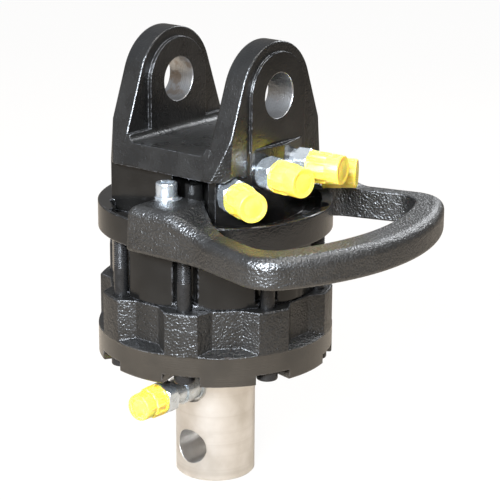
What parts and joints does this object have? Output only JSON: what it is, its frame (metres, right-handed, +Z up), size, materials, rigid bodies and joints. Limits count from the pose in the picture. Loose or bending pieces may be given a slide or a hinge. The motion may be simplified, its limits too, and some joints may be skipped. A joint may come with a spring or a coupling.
{
  "type": "hydraulic rotator",
  "caption": "Hydraulic vane rotator with clevis ears on top, a pinned output shaft below, capped hose ports and a hose guard loop",
  "frame": {"origin": "middle of the clevis bore, halfway between the two ears, on the rotor axis", "axes": "+X along the clevis pin towards the hose guard, +Y along the cross hole of the shaft at rest, +Z up the rotor axis from the shaft to the ears"},
  "size_m": [0.2932, 0.2524, 0.3894],
  "materials": {
    "black_paint": "black gloss paint over cast iron, smoother on turned faces",
    "black_steel": "black oxide steel, slightly oily",
    "zinc_steel": "bright zinc plated steel",
    "yellow_plastic": "lemon yellow soft plastic, satin",
    "machined_steel": "bare turned steel with fine turning lines",
    "bearing_steel": "hardened ground steel",
    "vane_steel": "ground steel, satin",
    "bronze": "machined bronze, satin",
    "seal_rubber": "moulded black rubber"
  },
  "bodies": {
    "housing": {"upper_head": "black_paint", "journal_bushes": "bronze", "swivel_seals": "seal_rubber", "upper_thrust_washer": "bronze", "stator_ring": "black_paint", "stator_orings": "seal_rubber", "dowel_pins": "bearing_steel", "lower_cover": "black_paint", "lower_race": "bearing_steel", "shaft_bush": "bronze", "shaft_seal": "seal_rubber", "wiper_ring": "seal_rubber", "housing_bolts": "black_steel", "hose_guard": "black_paint", "guard_screws": "zinc_steel", "gallery_plug": "black_steel", "port_seals": "zinc_steel", "port_adaptors": "zinc_steel", "port_caps": "yellow_plastic"},
    "rotor": {"output_shaft": "machined_steel", "channel_plugs": "machined_steel", "upper_race": "bearing_steel", "lower_seals": "zinc_steel", "lower_adaptors": "zinc_steel", "lower_caps": "yellow_plastic"},
    "bearing_cage": {"ball_cage": "bronze", "thrust_balls": "bearing_steel"},
    "vane_1": {"vane_1": "vane_steel"},
    "vane_2": {"vane_2": "vane_steel"},
    "vane_3": {"vane_3": "vane_steel"},
    "vane_4": {"vane_4": "vane_steel"},
    "vane_5": {"vane_5": "vane_steel"},
    "vane_6": {"vane_6": "vane_steel"},
    "vane_7": {"vane_7": "vane_steel"},
    "vane_8": {"vane_8": "vane_steel"}
  },
  "joints": [
    {"name": "rotor_spin", "type": "hinge", "parent": "housing", "child": "rotor", "pos_m": [0, 0, -0.1447], "axis": [0, 0, 1], "continuous": true},
    {"name": "cage_spin", "type": "hinge", "parent": "housing", "child": "bearing_cage", "pos_m": [0, 0, -0.1811], "axis": [0, 0, 1], "continuous": true},
    {"name": "vane_slide_1", "type": "slide", "parent": "rotor", "child": "vane_1", "axis": [0.9239, 0.3827, 0], "range_m": [0, 0.006]},
    {"name": "vane_slide_2", "type": "slide", "parent": "rotor", "child": "vane_2", "axis": [0.3827, 0.9239, 0], "range_m": [0, 0.006]},
    {"name": "vane_slide_3", "type": "slide", "parent": "rotor", "child": "vane_3", "axis": [-0.3827, 0.9239, 0], "range_m": [0, 0.006]},
    {"name": "vane_slide_4", "type": "slide", "parent": "rotor", "child": "vane_4", "axis": [-0.9239, 0.3827, 0], "range_m": [0, 0.006]},
    {"name": "vane_slide_5", "type": "slide", "parent": "rotor", "child": "vane_5", "axis": [-0.9239, -0.3827, 0], "range_m": [0, 0.006]},
    {"name": "vane_slide_6", "type": "slide", "parent": "rotor", "child": "vane_6", "axis": [-0.3827, -0.9239, 0], "range_m": [0, 0.006]},
    {"name": "vane_slide_7", "type": "slide", "parent": "rotor", "child": "vane_7", "axis": [0.3827, -0.9239, 0], "range_m": [0, 0.006]},
    {"name": "vane_slide_8", "type": "slide", "parent": "rotor", "child": "vane_8", "axis": [0.9239, -0.3827, 0], "range_m": [0, 0.006]}
  ],
  "couplings": [
    {"joint": "cage_spin", "follows": "rotor_spin", "ratio": 0.5}
  ]
}
